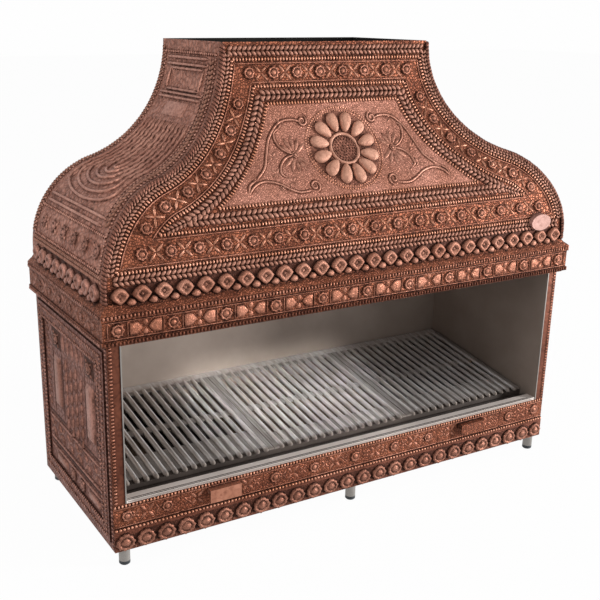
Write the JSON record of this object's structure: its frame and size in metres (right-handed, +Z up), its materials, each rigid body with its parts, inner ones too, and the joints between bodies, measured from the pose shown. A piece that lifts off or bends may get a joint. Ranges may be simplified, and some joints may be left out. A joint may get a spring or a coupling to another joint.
{
  "type": "charcoal grill",
  "caption": "Free-standing charcoal grill with an ogee smoke hood, embossed copper cladding, an open front, lift-out sloped grates and ash drawers.",
  "frame": {"origin": "on the floor under the middle of the overall box", "axes": "+Z up, +X to the right of the cook who faces the window, -Y out of the window towards the cook"},
  "size_m": [1.648, 0.628, 1.39],
  "materials": {
    "copper": "satin",
    "stainless_steel": "satin",
    "mild_steel": "matte",
    "cast_iron": "satin",
    "firebrick": "matte",
    "mineral_board": "matte",
    "black_pad": "matte"
  },
  "bodies": {
    "cabinet": {"ash_grids": "cast_iron", "back_insulation": "mineral_board", "back_liner": "stainless_steel", "back_panel": "mild_steel", "badge_plate": "copper", "base_frame": "mild_steel", "drawer_runners": "mild_steel", "firebricks": "firebrick", "floor_pan": "mild_steel", "flue_collar": "stainless_steel", "front_bud_band": "copper", "front_cornice": "copper", "front_fascia": "copper", "front_grate_rail": "stainless_steel", "grease_gutter": "stainless_steel", "hearth_bearers": "mild_steel", "hearth_plate": "mild_steel", "hood_back_panel": "mild_steel", "hood_front_frame": "copper", "hood_front_panel": "mild_steel", "hood_medallion": "copper", "left_bud_band": "copper", "left_cornice": "copper", "left_hip_rope": "copper", "left_hood_panel": "mild_steel", "left_insulation": "mineral_board", "left_liner": "stainless_steel", "left_post": "copper", "left_side_frame": "copper", "left_side_panel": "mild_steel", "legs": "stainless_steel", "plinth_moulding": "copper", "rear_grate_rail": "stainless_steel", "right_bud_band": "copper", "right_cornice": "copper", "right_hip_rope": "copper", "right_hood_panel": "mild_steel", "right_insulation": "mineral_board", "right_liner": "stainless_steel", "right_post": "copper", "right_side_frame": "copper", "right_side_panel": "mild_steel", "skewer_ledge": "stainless_steel", "top_frame": "mild_steel"},
    "left_ash_drawer": {"left_drawer_tray": "mild_steel", "left_drawer_front": "copper", "left_drawer_pull": "copper"},
    "right_ash_drawer": {"right_drawer_tray": "mild_steel", "right_drawer_front": "copper", "right_drawer_pull": "copper"},
    "left_grate": {"left_grate": "cast_iron"},
    "middle_grate": {"middle_grate": "cast_iron"},
    "right_grate": {"right_grate": "cast_iron"},
    "left_front_foot": {"left_front_foot": "black_pad"},
    "middle_front_foot": {"middle_front_foot": "black_pad"},
    "right_front_foot": {"right_front_foot": "black_pad"},
    "left_rear_foot": {"left_rear_foot": "black_pad"},
    "middle_rear_foot": {"middle_rear_foot": "black_pad"},
    "right_rear_foot": {"right_rear_foot": "black_pad"}
  },
  "joints": [
    {"name": "left_drawer_slide", "type": "slide", "parent": "cabinet", "child": "left_ash_drawer", "axis": [0, -1, 0], "range_m": [0, 0.36]},
    {"name": "right_drawer_slide", "type": "slide", "parent": "cabinet", "child": "right_ash_drawer", "axis": [0, -1, 0], "range_m": [0, 0.36]},
    {"name": "left_grate_lift", "type": "slide", "parent": "cabinet", "child": "left_grate", "axis": [0, -0.9397, 0.342], "range_m": [0, 0.64]},
    {"name": "middle_grate_lift", "type": "slide", "parent": "cabinet", "child": "middle_grate", "axis": [0, -0.9397, 0.342], "range_m": [0, 0.64]},
    {"name": "right_grate_lift", "type": "slide", "parent": "cabinet", "child": "right_grate", "axis": [0, -0.9397, 0.342], "range_m": [0, 0.64]},
    {"name": "left_front_foot_turn", "type": "hinge", "parent": "cabinet", "child": "left_front_foot", "pos_m": [-0.766, -0.269, 0], "axis": [0, 0, 1], "continuous": true},
    {"name": "middle_front_foot_turn", "type": "hinge", "parent": "cabinet", "child": "middle_front_foot", "pos_m": [0, -0.269, 0], "axis": [0, 0, 1], "continuous": true},
    {"name": "right_front_foot_turn", "type": "hinge", "parent": "cabinet", "child": "right_front_foot", "pos_m": [0.766, -0.269, 0], "axis": [0, 0, 1], "continuous": true},
    {"name": "left_rear_foot_turn", "type": "hinge", "parent": "cabinet", "child": "left_rear_foot", "pos_m": [-0.766, 0.297, 0], "axis": [0, 0, 1], "continuous": true},
    {"name": "middle_rear_foot_turn", "type": "hinge", "parent": "cabinet", "child": "middle_rear_foot", "pos_m": [0, 0.297, 0], "axis": [0, 0, 1], "continuous": true},
    {"name": "right_rear_foot_turn", "type": "hinge", "parent": "cabinet", "child": "right_rear_foot", "pos_m": [0.766, 0.297, 0], "axis": [0, 0, 1], "continuous": true}
  ]
}
